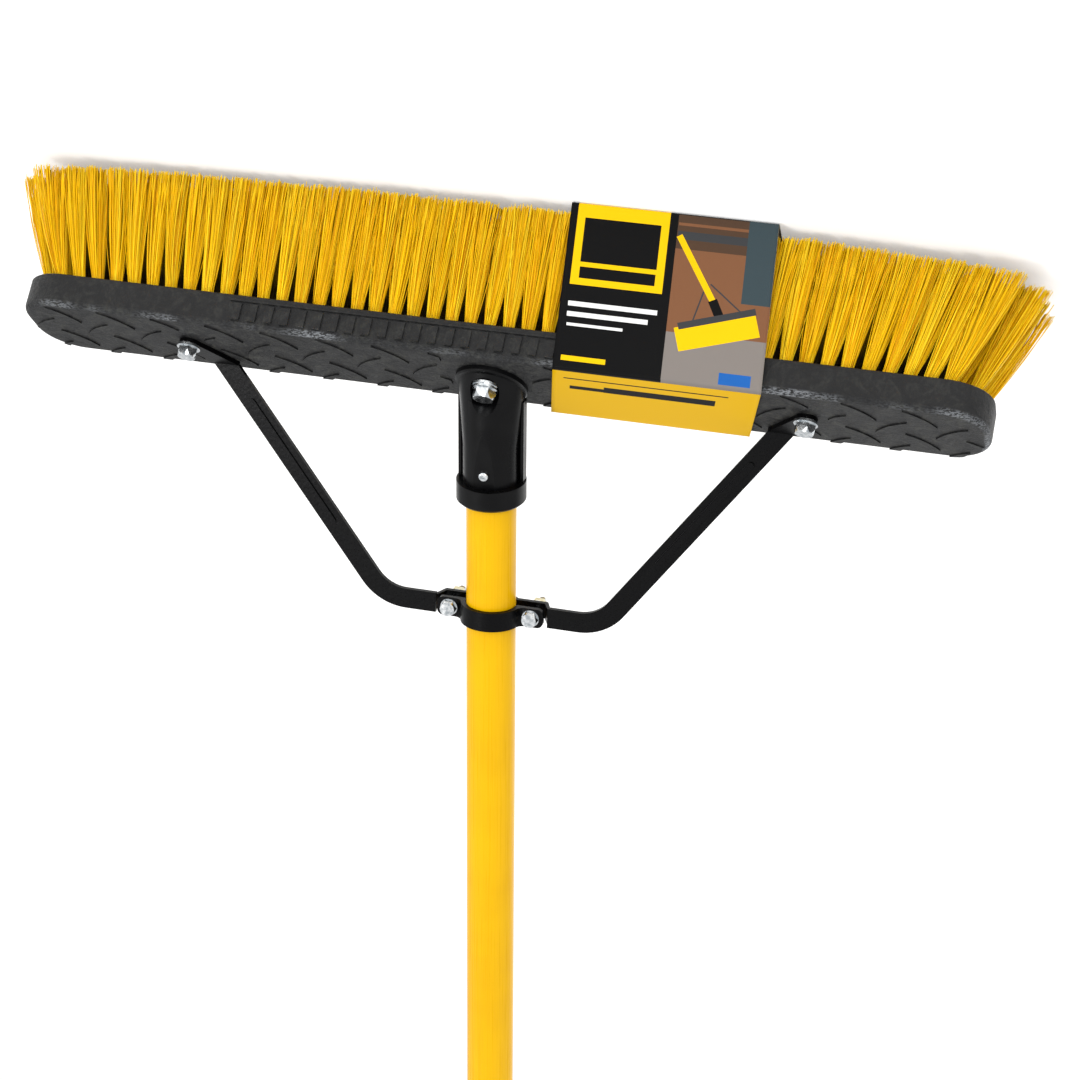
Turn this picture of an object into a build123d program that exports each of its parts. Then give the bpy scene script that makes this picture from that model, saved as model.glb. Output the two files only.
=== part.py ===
from build123d import *
import os
from math import sin, cos, tan, radians, degrees, atan2, hypot

os.makedirs("parts", exist_ok=True)

# Push broom, in use: bristle tips at z 0, block along X, handle leaning back to +Y.
# Sizes in millimetres.

# head
block_length = 610.0
block_width = 72.0
block_height = 21.5
block_corner = 28.0
block_edge_round = 5.0
bristle_length = 76.0
sleeve_drop = 5.0
row_margin = 7.6
row_pitch = block_width / 4 - row_margin / 2
tuft_pitch = 12.1
hole_radius = 4.0
hole_depth = block_height - 7.5
tuft_clearance = 0.1
tip_radius = min(tuft_pitch, row_pitch) / 2 - 0.5
end_flare = 23.0
side_flare = 9.0
rib_span = block_length - 284.0
rib_pitch = 10.5
plate_pitch = 36.0
plate_rise = 0.9
plate_shift = (5.5, -4.0)

# handle
handle_lean = 46.0
handle_radius = 15.875
handle_wall = 3.1
handle_length = 1524.0
handle_start = 26.5
handle_base_y = 2.0
fit_gap = 0.05

# socket
socket_length = 80.0
socket_radius = handle_radius + 1.925
collar_radius = handle_radius + 6.125
base_wide = handle_radius + 6.625
base_deep = handle_radius + 10.625
base_back = 3.5
bolt_y = -8.0
seat_height = 7.0
pocket_radius = 9.2
screw_height = 57.0
socket_bolt_radius = 3.95
socket_insert_radius = socket_bolt_radius + 1.55
foot_bolt_radius = 3.15
foot_insert_radius = foot_bolt_radius + 1.35
clamp_bolt_radius = 2.45

# brace and clamp
strap_width = 13.3
strap_thick = 3.0
foot_x = block_length / 2 - 109.0
crease_x = foot_x - 17.7
crease_y = 22.0
foot_y = -2.0
clamp_height = 160.0
band_width = 12.8
rear_width = 10.4
clamp_bore = handle_radius + 0.675
clamp_bolt_x = clamp_bore + 10.45
rear_ear_back = clamp_bore - 3.05
bend_radius = 30.0

# packing sleeve
sleeve_start = -39.5
sleeve_end = 14.8 - crease_x
card = 0.9

under_z = bristle_length
top_z = under_z + block_height
lean = radians(handle_lean)
axis_dir = Vector(0, sin(lean), cos(lean))
front_dir = Vector(0, -cos(lean), sin(lean))
axis_base = Vector(0, handle_base_y, top_z)


def on_axis(s):
    return axis_base + axis_dir * s


def axis_plane(s):
    return Plane(origin=on_axis(s), x_dir=(1, 0, 0), z_dir=axis_dir)


def rod(radius, start, end, direction):
    # round bar from start along direction
    plane = Plane(origin=start, z_dir=direction)
    return plane * Cylinder(radius, end, align=(Align.CENTER, Align.CENTER, Align.MIN))


def upright(radius, x, y, z0, z1):
    return rod(radius, (x, y, z0), z1 - z0, (0, 0, 1))


def slab(x0, x1, y0, y1, z0, z1):
    low = (Align.MIN, Align.MIN, Align.MIN)
    return Pos(x0, y0, z0) * Box(x1 - x0, y1 - y0, z1 - z0, align=low)


def save(shape, name, colour):
    shape.label = name
    shape.color = Color(*colour)
    export_step(shape, os.path.join("parts", name + ".step"))
    print(name, len(shape.solids()), "solids", round(shape.volume, 1))


black = (0.05, 0.05, 0.055)
yellow = (0.98, 0.78, 0.02)
steel = (0.75, 0.76, 0.78)
brass = (0.80, 0.66, 0.35)


# ---------------------------------------------------------------- tuft layout
foot_points = [(foot_x, foot_y), (-foot_x, foot_y)]
bolt_points = foot_points + [(0.0, bolt_y)]


def row_half(row):
    # tufts each side of the middle one; the outer rows stop at the round corners
    margin = block_corner - 2.0 if abs(row) == 2 else hole_radius + 10.0
    return int((block_length / 2 - margin) / tuft_pitch)


def tuft_bases(row):
    y = row * row_pitch
    bases = []
    half = row_half(row)
    for k in range(-half, half + 1):
        x = k * tuft_pitch
        near = min(hypot(x - bx, y - by) for bx, by in bolt_points)
        if near > socket_insert_radius + hole_radius + 1.0:
            bases.append((x, y))
    return bases


def tuft_direction(x, y):
    reach = block_length / 2 - 14.6
    across = end_flare * (abs(x) / reach) ** 3
    along = side_flare * y / (2 * row_pitch) * (1 - 0.5 * (x / reach) ** 2)
    sx = tan(radians(across)) * (1 if x > 0 else -1)
    return Vector(sx, tan(radians(along)), -1).normalized()


def tuft(x, y):
    d = tuft_direction(x, y)
    # every tuft is cut to one length, so the flared end tufts stop a little higher
    slope = (1 - d.Z * d.Z) ** 0.5
    lean_out = hypot(d.Y, d.Z) / abs(d.Z)
    length = bristle_length * lean_out - tip_radius * slope / abs(d.Z)
    r0 = hole_radius - tuft_clearance
    top = -(hole_depth - 1.8)
    outline = Polyline((0, top), (r0, top), (r0, 0), (tip_radius, length), (0, length), close=True)
    profile = Plane.XZ * make_face(outline)
    solid = revolve(profile, Axis.Z)
    return Plane(origin=(x, y, under_z), z_dir=d) * solid


def anchor(x, y):
    d = tuft_direction(x, y)
    centre = Vector(x, y, under_z) - d * (hole_depth - 0.95)
    across = d.cross(Vector(0, 1, 0)).normalized()
    return rod(0.8, centre - across * 3.2, 6.4, across)


def tuft_hole(x, y):
    d = tuft_direction(x, y)
    start = Vector(x, y, under_z) - d * hole_depth
    return rod(hole_radius, start, hole_depth + 3, d)


# ---------------------------------------------------------------- head block
outline = RectangleRounded(block_length, block_width, block_corner)
block = extrude(Pos(0, 0, under_z) * outline, block_height)
block = fillet(block.edges().group_by(Axis.Z)[-1], block_edge_round)
block = chamfer(block.edges().group_by(Axis.Z)[0], 0.8)

# side ribs under the top edge, both long faces
rib_count = int((rib_span - 11.0) / rib_pitch) + 1
half_w = block_width / 2
ribs = []
for side in (-1, 1):
    y0 = min(side * (half_w - 1), side * (half_w + 1))
    ribs.append(slab(-rib_span / 2, rib_span / 2, y0, y0 + 2, under_z + 3.3, under_z + 4.5))
    for k in range(rib_count):
        x = (k - (rib_count - 1) / 2) * rib_pitch
        ribs.append(slab(x - 2.6, x + 2.6, y0, y0 + 2, under_z + 5.8, top_z - 4.5))
block = block + ribs

# raised tread lozenges on the top face
lens_half = 14.0
lens_wide = 2.4
lens_r = (lens_half**2 + lens_wide**2) / (2 * lens_wide)
lens = (Pos(0, lens_r - lens_wide) * Circle(lens_r)) & (Pos(0, lens_wide - lens_r) * Circle(lens_r))
rise = extrude(lens, plate_rise + 1.0)
treads = []
plates_long = int(block_length / 2 / plate_pitch) + 1
plates_wide = int(half_w / plate_pitch) + 1
shift_x, shift_y = plate_shift
for m in range(-plates_long, plates_long + 1):
    for n in range(-plates_wide, plates_wide + 1):
        x = shift_x + plate_pitch * m
        y = shift_y + plate_pitch * n
        half_step = plate_pitch / 2
        treads.append(Pos(x, y, top_z - 1) * Rot(0, 0, 45) * rise)
        treads.append(Pos(x + half_step, y + half_step, top_z - 1) * Rot(0, 0, -45) * rise)
inner = RectangleRounded(block_length - 8, block_width - 8, block_corner - 4)
field = extrude(Pos(0, 0, top_z - 1) * inner, plate_rise + 1.0)
foot_dx = foot_x - crease_x
foot_dy = crease_y - foot_y
keep_x = base_wide + 4.5
clear = [slab(-keep_x, keep_x, -half_w, half_w, top_z - 2, top_z + 5)]
for side in (-1, 1):
    clear.append(upright(13.0, side * foot_x, foot_y, top_z - 2, top_z + 5))
    swing = degrees(atan2(side * foot_dx, -foot_dy))
    lane = Pos(0, 15, 0) * Box(strap_width + 5, 60, 7)
    clear.append(Pos(side * foot_x, foot_y, top_z) * Rot(0, 0, -swing + 180) * lane)
kept = []
for tread in treads:
    left = list((tread & field).solids())
    for gap in clear:
        trimmed = []
        for solid in left:
            trimmed += list((solid - gap).solids())
        left = trimmed
    for solid in left:
        if solid.volume > 12:
            kept.append(solid)
block = block + kept

holes = []
for row in range(-2, 3):
    for x, y in tuft_bases(row):
        holes.append(tuft_hole(x, y))
for x, y in foot_points:
    foot_hole = foot_insert_radius + fit_gap
    holes.append(upright(foot_hole, x, y, under_z + 7.0, top_z + 3))
socket_hole = socket_insert_radius + fit_gap
holes.append(upright(socket_hole, 0, bolt_y, under_z + 3.0, top_z + 3))
block = block - holes
save(block, "head_block", black)

# ---------------------------------------------------------------- bristle rows
row_names = ["bristle_row_front", "bristle_row_front_inner", "bristle_row_middle"]
row_names += ["bristle_row_back_inner", "bristle_row_back"]
anchors = []
for row, name in zip(range(-2, 3), row_names):
    tufts = []
    for x, y in tuft_bases(row):
        tufts.append(tuft(x, y))
        anchors.append(anchor(x, y))
    save(Compound(children=tufts), name, yellow)
save(Compound(children=anchors), "tuft_anchor_wires", steel)

# ---------------------------------------------------------------- socket
base_ring = Plane(origin=(0, base_back, top_z)) * Ellipse(base_wide, base_deep)
foot_pad = extrude(base_ring, 3.6)
foot_pad = chamfer(foot_pad.edges().group_by(Axis.Z)[-1], 0.9)
neck_ring = Plane(origin=(0, base_back, top_z)) * Ellipse(base_wide - 1.3, base_deep - 1.3)
neck = loft([neck_ring, axis_plane(42) * Circle(socket_radius)])
barrel = axis_plane(8) * Cylinder(socket_radius, socket_length - 8, align=(Align.CENTER, Align.CENTER, Align.MIN))
collar = axis_plane(66) * Cylinder(collar_radius, socket_length - 66, align=(Align.CENTER, Align.CENTER, Align.MIN))
collar = chamfer(collar.edges().group_by(Axis(on_axis(0), axis_dir))[-1], 1.5)
socket = foot_pad + neck + barrel + collar
# side fins stand off the barrel, joined at their back edge and at the collar
fin_out = collar_radius - 1.0
for side in (-1, 1):
    fin = Pos(side * (fin_out - 0.9), 2.0, 42.0) * Box(1.8, 7.0, 62.0)
    web = Pos(side * (fin_out - 3.0), 4.1, 42.0) * Box(5.0, 2.4, 62.0)
    socket = socket + axis_plane(0) * fin + axis_plane(0) * web
# flat facet running down to the screw
facet = Plane(origin=on_axis(30) + front_dir * socket_radius, x_dir=(1, 0, 0), z_dir=(front_dir + axis_dir * 0.045).normalized())
shave = facet * Pos(0, 17, 4) * Box(13.0, 38.0, 8.0)
socket = socket - shave
socket = socket - slab(-60, 60, -80, 120, top_z - 60, top_z)
# handle bore, bolt pocket, screw recess
socket = socket - rod(handle_radius + fit_gap, on_axis(handle_start - 0.5), 90, axis_dir)
socket = socket - upright(pocket_radius, 0, bolt_y, top_z + seat_height, top_z + 60)
socket = socket - upright(socket_bolt_radius + 0.25, 0, bolt_y, top_z - 1, top_z + 30)
recess_floor = socket_radius - 1.2
socket = socket - rod(4.7, on_axis(screw_height) + front_dir * recess_floor, 12, front_dir)
socket = socket - rod(2.3, on_axis(screw_height), 30, front_dir)
save(socket, "handle_socket", black)


def hex_bolt(across, head_height, flange_radius, flange_height, shank_radius, shank_length):
    # seat at z 0, head up, shank down
    head = extrude(RegularPolygon(across / 2, 6, major_radius=False), head_height + flange_height)
    dome = Cone(across * 0.72, across * 0.42, 12.0, align=(Align.CENTER, Align.CENTER, Align.MIN))
    head = head & (Pos(0, 0, head_height + flange_height - 9.2) * dome)
    low = (Align.CENTER, Align.CENTER, Align.MIN)
    flange = Cylinder(flange_radius, flange_height, align=low)
    shank = Pos(0, 0, -shank_length) * Cylinder(shank_radius, shank_length + 1, align=low)
    body = head + flange + shank
    tip = body.edges().group_by(Axis.Z)[0]
    return chamfer(tip, shank_radius * 0.18)


def ring(outer, inner, height):
    low = (Align.CENTER, Align.CENTER, Align.MIN)
    return Cylinder(outer, height, align=low) - Pos(0, 0, -1) * Cylinder(inner, height + 2, align=low)


washer = ring(8.8, socket_bolt_radius + 0.15, 1.6)
save(Pos(0, bolt_y, top_z + seat_height) * washer, "socket_washer", steel)
socket_bolt = hex_bolt(12.7, 6.4, 8.1, 1.6, socket_bolt_radius, block_height + 2.5)
save(Pos(0, bolt_y, top_z + seat_height + 1.6) * socket_bolt, "socket_bolt", steel)
insert = ring(socket_insert_radius, socket_bolt_radius + fit_gap, block_height - 4.5)
save(Pos(0, bolt_y, under_z + 4.0) * insert, "socket_threaded_insert", brass)

# ---------------------------------------------------------------- brace
clamp_point = on_axis(clamp_height)
rise_y = clamp_point.Y - crease_y
rise_z = clamp_point.Z - (top_z + strap_thick)
tilt = atan2(rise_y, rise_z)
reach = hypot(rise_y, rise_z)
up_dir = Vector(0, sin(tilt), cos(tilt))
face_dir = Vector(0, -cos(tilt), sin(tilt))
arm_plane = Plane(origin=(0, crease_y, top_z + strap_thick), x_dir=(1, 0, 0), z_dir=face_dir)
swing = atan2(foot_x - crease_x, crease_y - foot_y)
half = strap_width / 2
half_cut = half / cos(swing)
slope = 1 / tan(swing)


def arm_outline():
    # flat pattern of one arm above the crease, with the bend to the clamp
    high = reach + half
    low = reach - half
    outer = (crease_x + half_cut - high / slope, high)
    inner_corner = (crease_x - half_cut - low / slope, low)
    start = [(crease_x - half_cut, 0), (crease_x + half_cut, 0)]
    end_x = clamp_bolt_x + 10.0
    face = make_face(Polyline(*start, outer, (end_x, high), (end_x, low), inner_corner, close=True))
    near_outer = face.vertices().sort_by_distance((outer[0], outer[1], 0))[0]
    face = fillet(near_outer, bend_radius + half)
    near_inner = face.vertices().sort_by_distance((inner_corner[0], inner_corner[1], 0))[0]
    return fillet(near_inner, bend_radius - half)


def bead_shape(width, height):
    # stamped stiffening bead along the arm
    mid = 60.0
    tall = 96.0
    place = Pos(crease_x - mid / slope, mid) * Rot(0, 0, degrees(atan2(slope, -1.0)))
    return extrude(place * SlotOverall(tall, width), height)


def half_brace():
    flat = arm_outline()
    arm = extrude(flat, -strap_thick)
    arm = arm + bead_shape(4.4, 0.9) - Pos(0, 0, -strap_thick) * bead_shape(3.0, 0.9)
    arm = arm_plane * arm
    strip = Pos(0, 22) * Rectangle(strap_width, 44)
    turn = degrees(swing)
    eye = Pos(foot_x, foot_y) * (Rot(0, 0, turn) * strip + Circle(half))
    eye = eye & (Pos(foot_x, crease_y - 40) * Rectangle(120, 80))
    foot = extrude(Pos(0, 0, top_z) * eye, strap_thick)
    wedge = make_face(Polyline((0, 0), (0, -6), (3, -7), (8 * cos(tilt), -8 * sin(tilt)), close=True))
    sector = Circle(strap_thick) & wedge
    turn_plane = Plane(origin=(crease_x - half_cut, crease_y, top_z + strap_thick), x_dir=(0, 1, 0), z_dir=(1, 0, 0))
    bend = extrude(turn_plane * sector, 2 * half_cut)
    side = foot + bend + arm
    return side - upright(foot_bolt_radius + 0.25, foot_x, foot_y, top_z - 2, top_z + 8)


clamp_plane = Plane(origin=clamp_point, x_dir=(1, 0, 0), z_dir=up_dir)
ring_out = clamp_bore + strap_thick


def rear_wrap():
    # behind the handle: stand-off ears and a half ring, y is backwards here
    ring_face = Circle(ring_out) - Circle(clamp_bore)
    ring_face = ring_face & (Pos(0, 30 + rear_ear_back - strap_thick) * Rectangle(90, 60))
    face = ring_face
    t = strap_thick
    b = rear_ear_back
    for side in (-1, 1):
        near = clamp_bore - 8.0
        seat = clamp_bolt_x + 5.6
        tail = clamp_bolt_x + 10.6
        points = [(near, b - t), (seat, b - t), (tail, 0), (tail + 1, 0), (tail + 1, t), (tail + 0.8, t)]
        points += [(seat + 1.4, b), (near, b)]
        ear_face = make_face(Polyline(*points, close=True)) - Circle(clamp_bore)
        face = face + (ear_face if side > 0 else mirror(ear_face, Plane.YZ))
    return extrude(clamp_plane * face, rear_width / 2, both=True)


right_half = half_brace()
brace = right_half + mirror(right_half, Plane.YZ) + rear_wrap()
for side in (-1, 1):
    bolt_hole = rod(clamp_bolt_radius + 0.25, clamp_point + Vector(side * clamp_bolt_x, 0, 0) - face_dir * 40, 60, face_dir)
    brace = brace - bolt_hole
save(brace, "steel_brace", black)

# ---------------------------------------------------------------- clamp band
band_face = Circle(ring_out) - Circle(clamp_bore)
band_face = band_face & (Pos(0, -30) * Rectangle(90, 60))
ear_end = clamp_bolt_x + 8.0
ear_mid = (ear_end + clamp_bore) / 2
for side in (-1, 1):
    ear = Pos(side * ear_mid, -strap_thick / 2 - 0.03) * Rectangle(ear_end - clamp_bore, strap_thick)
    band_face = band_face + (ear - Circle(clamp_bore))
neck_y = -strap_thick - 0.03
neck_x = (ring_out**2 - neck_y**2) ** 0.5
for side in (-1, 1):
    throat = band_face.vertices().sort_by_distance((side * neck_x, neck_y, 0))[0]
    band_face = fillet(throat, 5.0)
band = extrude(clamp_plane * band_face, band_width / 2, both=True)
for side in (-1, 1):
    band = band - rod(clamp_bolt_radius + 0.25, clamp_point + Vector(side * clamp_bolt_x, 0, 0) - face_dir * 30, 60, face_dir)
ends = band.faces().sort_by(Axis.X)
band = fillet(ends[0].edges().filter_by(Axis((0, 0, 0), face_dir)), 4.0)
ends = band.faces().sort_by(Axis.X)
band = fillet(ends[-1].edges().filter_by(Axis((0, 0, 0), face_dir)), 4.0)
save(band, "clamp_band", black)

# ---------------------------------------------------------------- fasteners
foot_bolts = []
foot_inserts = []
clamp_bolts = []
clamp_nuts = []
clamp_washers = []
foot_bolt = hex_bolt(11.2, 6.4, 7.4, 1.5, foot_bolt_radius, block_height - 6.5)
clamp_bolt = hex_bolt(9.6, 4.2, 5.6, 0.9, clamp_bolt_radius, rear_ear_back + 16.5)
low = (Align.CENTER, Align.CENTER, Align.MIN)
nut = extrude(RegularPolygon(4.8, 6, major_radius=False), 4.4) - Pos(0, 0, -1) * Cylinder(clamp_bolt_radius + fit_gap, 8, align=low)
for x, y in foot_points:
    foot_bolts.append(Pos(x, y, top_z + strap_thick) * Rot(0, 0, 12) * foot_bolt)
    foot_insert = ring(foot_insert_radius, foot_bolt_radius + fit_gap, block_height - 8.5)
    foot_inserts.append(Pos(x, y, under_z + 8.0) * foot_insert)
for side in (-1, 1):
    front = clamp_point + Vector(side * clamp_bolt_x, 0, 0) + face_dir * (strap_thick + 0.05)
    clamp_bolts.append(Plane(origin=front, x_dir=(1, 0, 0), z_dir=face_dir) * clamp_bolt)
    back = clamp_point + Vector(side * clamp_bolt_x, 0, 0) - face_dir * (rear_ear_back + 0.02)
    clamp_washers.append(Plane(origin=back, x_dir=(1, 0, 0), z_dir=-face_dir) * ring(5.0, clamp_bolt_radius + 0.15, 1.0))
    behind = back - face_dir * 1.02
    clamp_nuts.append(Plane(origin=behind, x_dir=(1, 0, 0), z_dir=-face_dir) * nut)
save(Compound(children=[foot_bolts[0]]), "brace_bolt_left", steel)
save(Compound(children=[foot_bolts[1]]), "brace_bolt_right", steel)
save(Compound(children=foot_inserts), "brace_threaded_inserts", brass)
save(Compound(children=[clamp_bolts[1]]), "clamp_bolt_left", steel)
save(Compound(children=[clamp_bolts[0]]), "clamp_bolt_right", steel)
save(Compound(children=clamp_washers), "clamp_washers", steel)
save(Compound(children=clamp_nuts), "clamp_nuts", brass)

# ---------------------------------------------------------------- handle
tube_end = handle_start + handle_length
bore_radius = handle_radius - handle_wall
tube = rod(handle_radius, on_axis(handle_start), handle_length, axis_dir)
tube = tube - rod(bore_radius, on_axis(handle_start - 5), handle_length + 10, axis_dir)
tube = tube - rod(2.3, on_axis(screw_height), 30, front_dir)
save(tube, "fibreglass_handle", yellow)

plug = rod(bore_radius - fit_gap, on_axis(handle_start), 62.0, axis_dir)
plug = plug - rod(1.85, on_axis(screw_height) - front_dir * 8, 60, front_dir)
save(plug, "handle_core_plug", (0.72, 0.55, 0.36))

# pan head screw that pins the handle in the socket
head_seat = on_axis(screw_height) + front_dir * (recess_floor + 0.02)
screw_plane = Plane(origin=head_seat, x_dir=(1, 0, 0), z_dir=front_dir)
screw_head = Cylinder(3.1, 2.2, align=low)
screw_head = fillet(screw_head.edges().group_by(Axis.Z)[-1], 1.0)
drive = Pos(0, 0, 0.9) * extrude(RegularPolygon(1.25, 6), 3)
screw_reach = recess_floor + 7.0
screw = screw_head + Pos(0, 0, -screw_reach) * Cylinder(1.8, screw_reach + 1.0, align=low) - drive
save(screw_plane * screw, "handle_screw", steel)

# end cap with a hanging hole
cap_skirt = 44.0
cap_radius = handle_radius + 1.8
nose = 30.0
skirt = axis_plane(tube_end - cap_skirt) * Cylinder(cap_radius, cap_skirt + nose, align=low)
skirt = fillet(skirt.edges().group_by(Axis(on_axis(0), axis_dir))[-1], 12.0)
cap = skirt - rod(handle_radius + fit_gap, on_axis(tube_end - cap_skirt - 2), cap_skirt + 2.05, axis_dir)
flat = axis_plane(tube_end + 22) * Box(80, 80, 30)
keep = axis_plane(tube_end + 22) * Box(17.0, 80, 30)
cap = cap - (flat - keep)
cap = cap - rod(4.5, on_axis(tube_end + 17.0) - Vector(30, 0, 0), 60, (1, 0, 0))
save(cap, "handle_end_cap", black)

# ---------------------------------------------------------------- card sleeve
roof = top_z + plate_rise + 0.4
wall_top = half_w + 1.8
wall_low = 2 * row_pitch + bristle_length * tan(radians(side_flare))
wall_low = wall_low + tip_radius / cos(radians(side_flare)) + 1.34


def sleeve_loop(grow):
    points = [(-wall_top - grow, roof + grow), (wall_top + grow, roof + grow)]
    floor = card - sleeve_drop - grow
    points += [(wall_low + grow, floor), (-wall_low - grow, floor)]
    face = make_face(Polyline(*points, close=True))
    return fillet(face.vertices(), 1.4 + grow)


side_plane = Plane(origin=(sleeve_end, 0, 0), x_dir=(0, 1, 0), z_dir=(1, 0, 0))
loop = sleeve_loop(card) - sleeve_loop(0.0)
save(extrude(side_plane * loop, sleeve_start - sleeve_end), "card_sleeve", (0.10, 0.10, 0.10))
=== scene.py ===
import math

import bpy
import numpy as np
from mathutils import Matrix, Vector


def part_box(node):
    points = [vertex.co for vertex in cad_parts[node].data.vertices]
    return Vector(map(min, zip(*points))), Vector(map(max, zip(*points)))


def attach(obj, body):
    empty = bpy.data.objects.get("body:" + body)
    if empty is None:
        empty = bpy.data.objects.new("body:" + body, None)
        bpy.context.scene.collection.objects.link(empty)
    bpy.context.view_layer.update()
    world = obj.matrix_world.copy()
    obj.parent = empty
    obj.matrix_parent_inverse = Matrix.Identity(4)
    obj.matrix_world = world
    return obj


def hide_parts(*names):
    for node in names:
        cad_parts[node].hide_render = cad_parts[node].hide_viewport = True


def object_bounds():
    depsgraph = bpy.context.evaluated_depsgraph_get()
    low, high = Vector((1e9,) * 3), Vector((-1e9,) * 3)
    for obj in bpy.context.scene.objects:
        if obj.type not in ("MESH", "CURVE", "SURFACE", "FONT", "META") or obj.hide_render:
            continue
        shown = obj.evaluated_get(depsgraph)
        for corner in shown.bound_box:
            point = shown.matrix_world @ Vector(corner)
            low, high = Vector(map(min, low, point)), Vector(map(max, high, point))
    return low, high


# A push broom standing on its bristles: block along X, handle leaning back to +Y.
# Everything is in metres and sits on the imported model; sizes below are in millimetres.

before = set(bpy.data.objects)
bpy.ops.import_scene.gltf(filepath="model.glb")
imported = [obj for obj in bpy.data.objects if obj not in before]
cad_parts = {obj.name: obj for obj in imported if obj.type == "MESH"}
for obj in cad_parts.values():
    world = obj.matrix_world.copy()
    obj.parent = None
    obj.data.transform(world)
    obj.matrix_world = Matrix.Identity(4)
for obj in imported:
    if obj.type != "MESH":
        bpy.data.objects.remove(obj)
cadLow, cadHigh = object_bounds()
mm = 0.001
print("frame loaded:", len(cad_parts), "nodes")


def toLinear(code):
    # "#rrggbb" as seen on screen to the linear colour a shader takes
    values = [int(code[i:i + 2], 16) / 255 for i in (1, 3, 5)]
    linear = [v / 12.92 if v <= 0.04045 else ((v + 0.055) / 1.055) ** 2.4 for v in values]
    return (*linear, 1.0)


def perMm(size):
    # noise scale that puts one feature every so many millimetres
    return 1000.0 / size


def addNode(tree, kind, settings=None, links=None):
    # one shader node: settings go on its fields or sockets, links feed its sockets
    node = tree.nodes.new(kind)
    for key, value in (settings or {}).items():
        if key == "stops":
            ramp = node.color_ramp
            while len(ramp.elements) < len(value):
                ramp.elements.new(0.5)
            for element, (place, colour) in zip(ramp.elements, value):
                element.position = place
                element.color = toLinear(colour) if isinstance(colour, str) else (colour,) * 3 + (1,)
        elif isinstance(key, int) or key in node.inputs:
            node.inputs[key].default_value = value
        else:
            setattr(node, key, value)
    for key, source in (links or {}).items():
        if isinstance(source, bpy.types.Node):
            source = source.outputs[0]
        tree.links.new(source, node.inputs[key])
    return node


def startMaterial(name, settings):
    # a material with one Principled shader, constants set on the shader itself
    material = bpy.data.materials.new(name)
    material.use_nodes = True
    tree = material.node_tree
    shader = tree.nodes["Principled BSDF"]
    for key, value in settings.items():
        shader.inputs[key].default_value = value
    return material, tree, shader


def dress(nodeName, material):
    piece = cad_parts[nodeName]
    if not piece.material_slots:
        piece.data.materials.append(material)
    for place in piece.material_slots:
        place.link = "OBJECT"
        place.material = material


def makePiece(name, points, faces, material):
    mesh = bpy.data.meshes.new(name)
    mesh.from_pydata([tuple(p) for p in points], [], [tuple(f) for f in faces])
    mesh.polygons.foreach_set("use_smooth", [True] * len(mesh.polygons))
    mesh.materials.append(material)
    mesh.update()
    piece = bpy.data.objects.new(name, mesh)
    bpy.context.scene.collection.objects.link(piece)
    return piece


def axisOf(nodeName):
    # centre, long direction and reach of a bolt, read from its CAD mesh
    co = np.array([v.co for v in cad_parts[nodeName].data.vertices])
    centre = co.mean(0)
    spread = np.linalg.svd(co - centre, full_matrices=False)[2][0]
    along = (co - centre) @ spread
    radial = np.linalg.norm(co - centre - np.outer(along, spread), axis=1)
    if radial[along > 0.5 * along.max()].max() > radial[along < 0.5 * along.min()].max():
        spread = -spread  # points from the head to the free end
        along = -along
    middle = co[np.abs(along - along.max()) < 0.0004].mean(0)
    return middle, spread


camera = {
    "place": (-0.4445, -1.5603, 0.6957),
    "right": (-0.96343, 0.17876, -0.19961),
    "up": (0.13171, -0.33281, -0.93375),
    "back": (-0.23335, -0.92590, 0.29709),
    "lensMm": 94.2,
    "sensorMm": 36.0,
}
eye = bpy.data.objects.new("viewCamera", bpy.data.cameras.new("viewCamera"))
bpy.context.scene.collection.objects.link(eye)
axes = [Vector(camera[k]).normalized() for k in ("right", "up", "back")]
turn = Matrix((axes[0], axes[1], axes[2])).transposed().to_4x4()
eye.matrix_world = Matrix.Translation(camera["place"]) @ turn
eye.data.sensor_width = camera["sensorMm"]
eye.data.lens = camera["lensMm"]
eye.data.clip_start, eye.data.clip_end = 0.05, 60.0
bpy.context.scene.camera = eye
bpy.context.scene.view_settings.view_transform = "Standard"
bpy.context.scene.view_settings.look = "None"

studio = {
    "worldTop": "#FFFFFF",
    "worldLow": "#E0E2E4",
    "worldStrength": 0.84,
    # name: place, aim, size, watts
    "lamps": {
        "softKey": ((1.3, -1.5, 1.9), (0.0, 0.1, 0.1), 1.0, 27.0),
        "frontFill": ((-0.6, -2.6, 0.8), (0.0, 0.0, 0.1), 1.3, 19.0),
        "backRim": ((-1.2, 2.4, 2.2), (0.0, 0.3, 0.2), 1.6, 20.0),
    },
}
world = bpy.data.worlds.new("studioWorld")
world.use_nodes = True
bpy.context.scene.world = world
skyTree = world.node_tree
skyPlace = addNode(skyTree, "ShaderNodeTexCoord")
skySplit = addNode(skyTree, "ShaderNodeSeparateXYZ", {}, {0: skyPlace.outputs["Generated"]})
skyRamp = addNode(skyTree, "ShaderNodeValToRGB",
                  {"stops": [(0.0, studio["worldLow"]), (0.6, studio["worldTop"])]},
                  {0: skySplit.outputs["Z"]})
skyTree.links.new(skyRamp.outputs[0], skyTree.nodes["Background"].inputs["Color"])
skyTree.nodes["Background"].inputs["Strength"].default_value = studio["worldStrength"]
for name, (place, aim, size, watts) in studio["lamps"].items():
    lamp = bpy.data.lights.new(name, "AREA")
    lamp.shape, lamp.size, lamp.energy = "DISK", size, watts
    stand = bpy.data.objects.new(name, lamp)
    bpy.context.scene.collection.objects.link(stand)
    stand.location = place
    stand.rotation_mode = "QUATERNION"
    stand.rotation_quaternion = (Vector(aim) - Vector(place)).to_track_quat("-Z", "Y")

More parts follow.
